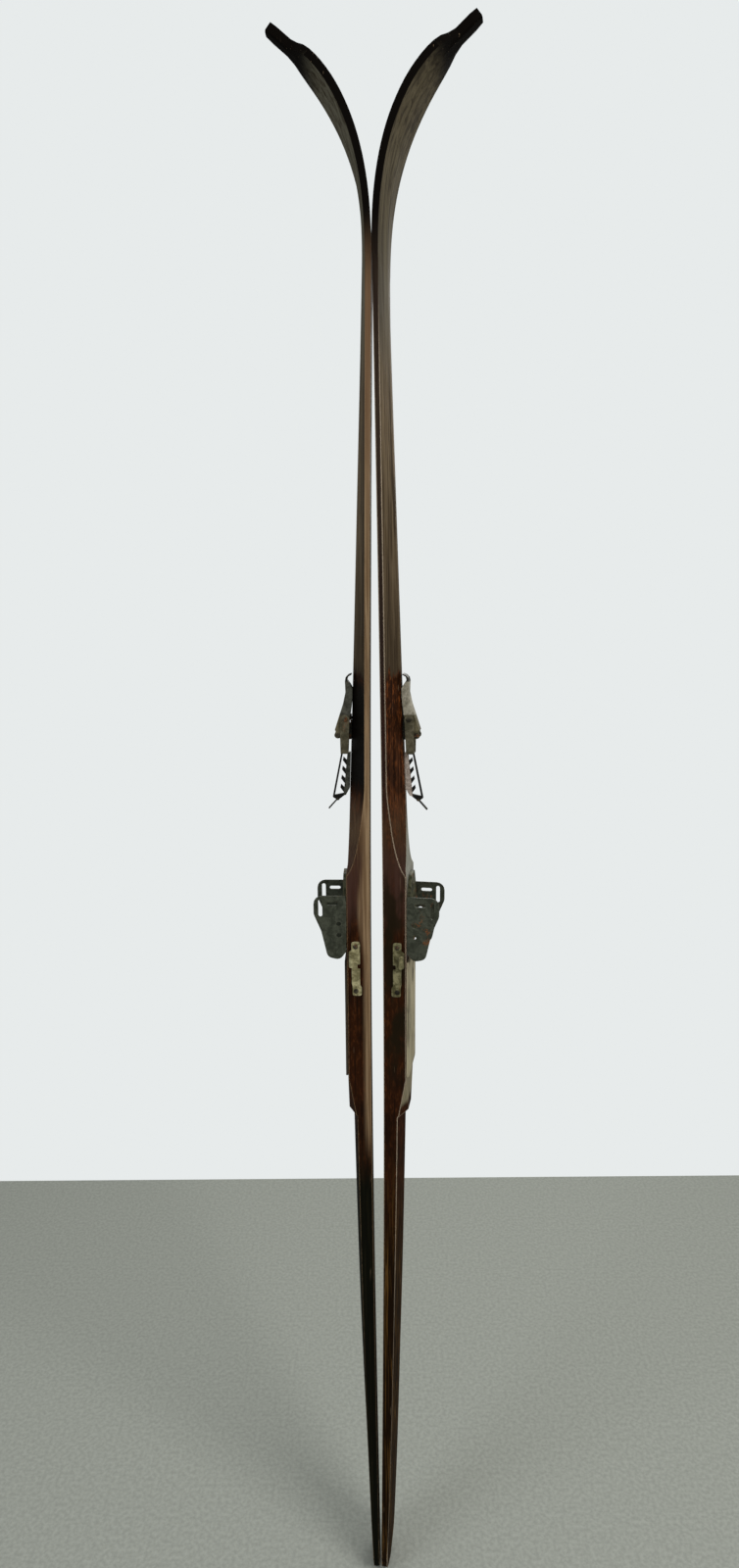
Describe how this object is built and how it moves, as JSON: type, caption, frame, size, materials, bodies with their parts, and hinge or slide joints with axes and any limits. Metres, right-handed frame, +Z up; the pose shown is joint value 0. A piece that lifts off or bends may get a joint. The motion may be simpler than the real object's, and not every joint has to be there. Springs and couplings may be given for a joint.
{
  "type": "pair of skis with bindings",
  "caption": "Pair of ridge-top wooden skis stood base to base, each with a toe iron of two slotted ears, cable guides and a front-throw lever with a toothed rack.",
  "frame": {"origin": "on the floor, midway between the two tails", "axes": "+Z up along the skis from tail to tip, +X from the left ski to the right ski"},
  "size_m": [0.2434, 0.0962, 2.1],
  "materials": {
    "wood": "worn varnish",
    "pad": "worn and weathered",
    "dark_iron": "blackened, with rust",
    "plated_steel": "dull plating",
    "galvanised_steel": "dull galvanised",
    "screw_steel": "aged"
  },
  "bodies": {
    "left_board": {"left_bracket_screw_front": "screw_steel", "left_bracket_screw_rear": "screw_steel", "left_cable_guide_left": "plated_steel", "left_cable_guide_right": "plated_steel", "left_cable_guide_screw_left_lower": "screw_steel", "left_cable_guide_screw_left_upper": "screw_steel", "left_cable_guide_screw_right_lower": "screw_steel", "left_cable_guide_screw_right_upper": "screw_steel", "left_foot_pad": "pad", "left_lever_bracket": "dark_iron", "left_lever_pivot_pin": "screw_steel", "left_ski": "wood", "left_toe_clamp_screw_left_front": "screw_steel", "left_toe_clamp_screw_left_rear": "screw_steel", "left_toe_clamp_screw_right_front": "screw_steel", "left_toe_clamp_screw_right_rear": "screw_steel", "left_toe_plate": "dark_iron", "left_toe_plate_screw": "screw_steel"},
    "left_rack": {"left_clip_pin": "screw_steel", "left_tension_rack": "galvanised_steel"},
    "left_clip": {"left_rack_clip": "dark_iron"},
    "left_lever": {"left_rack_pin": "screw_steel", "left_throw_lever": "galvanised_steel"},
    "left_ear_left": {"left_toe_ear_left": "dark_iron"},
    "left_ear_right": {"left_toe_ear_right": "dark_iron"},
    "right_board": {"right_bracket_screw_front": "screw_steel", "right_bracket_screw_rear": "screw_steel", "right_cable_guide_left": "plated_steel", "right_cable_guide_right": "plated_steel", "right_cable_guide_screw_left_lower": "screw_steel", "right_cable_guide_screw_left_upper": "screw_steel", "right_cable_guide_screw_right_lower": "screw_steel", "right_cable_guide_screw_right_upper": "screw_steel", "right_foot_pad": "pad", "right_lever_bracket": "dark_iron", "right_lever_pivot_pin": "screw_steel", "right_ski": "wood", "right_toe_clamp_screw_left_front": "screw_steel", "right_toe_clamp_screw_left_rear": "screw_steel", "right_toe_clamp_screw_right_front": "screw_steel", "right_toe_clamp_screw_right_rear": "screw_steel", "right_toe_plate": "dark_iron", "right_toe_plate_screw": "screw_steel"},
    "right_rack": {"right_clip_pin": "screw_steel", "right_tension_rack": "galvanised_steel"},
    "right_clip": {"right_rack_clip": "dark_iron"},
    "right_lever": {"right_rack_pin": "screw_steel", "right_throw_lever": "galvanised_steel"},
    "right_ear_left": {"right_toe_ear_left": "dark_iron"},
    "right_ear_right": {"right_toe_ear_right": "dark_iron"}
  },
  "joints": [
    {"name": "pair_opening", "type": "slide", "parent": "left_board", "child": "right_board", "axis": [1, 0, 0], "range_m": [0, 0.3]},
    {"name": "left_toe_ear_left_width", "type": "slide", "parent": "left_board", "child": "left_ear_left", "axis": [-0.0767, 0.9971, 0], "range_m": [-0.004, 0.01]},
    {"name": "left_toe_ear_right_width", "type": "slide", "parent": "left_board", "child": "left_ear_right", "axis": [0.0767, -0.9971, 0], "range_m": [-0.004, 0.01]},
    {"name": "left_lever_throw", "type": "hinge", "parent": "left_board", "child": "left_lever", "pos_m": [-0.05109, -0.00248, 1.2984], "axis": [0.0767, -0.9971, 0], "range_deg": [0, 130]},
    {"name": "left_rack_swing", "type": "hinge", "parent": "left_lever", "child": "left_rack", "pos_m": [-0.04172, -0.00176, 1.319], "axis": [0.0767, -0.9971, 0], "range_deg": [-130, 0]},
    {"name": "left_clip_tilt", "type": "hinge", "parent": "left_rack", "child": "left_clip", "pos_m": [-0.05269, -0.0026, 1.2137], "axis": [0.0767, -0.9971, 0], "range_deg": [-25, 90]},
    {"name": "right_toe_ear_left_width", "type": "slide", "parent": "right_board", "child": "right_ear_left", "axis": [-0.0767, -0.9971, 0], "range_m": [-0.004, 0.01]},
    {"name": "right_toe_ear_right_width", "type": "slide", "parent": "right_board", "child": "right_ear_right", "axis": [0.0767, 0.9971, 0], "range_m": [-0.004, 0.01]},
    {"name": "right_lever_throw", "type": "hinge", "parent": "right_board", "child": "right_lever", "pos_m": [0.05109, -0.00248, 1.2984], "axis": [0.0767, 0.9971, 0], "range_deg": [0, 130]},
    {"name": "right_rack_swing", "type": "hinge", "parent": "right_lever", "child": "right_rack", "pos_m": [0.04172, -0.00176, 1.319], "axis": [0.0767, 0.9971, 0], "range_deg": [-130, 0]},
    {"name": "right_clip_tilt", "type": "hinge", "parent": "right_rack", "child": "right_clip", "pos_m": [0.05269, -0.0026, 1.2137], "axis": [0.0767, 0.9971, 0], "range_deg": [-25, 90]}
  ],
  "couplings": [
    {"joint": "left_rack_swing", "follows": "left_lever_throw", "ratio": -1},
    {"joint": "right_rack_swing", "follows": "right_lever_throw", "ratio": -1}
  ]
}
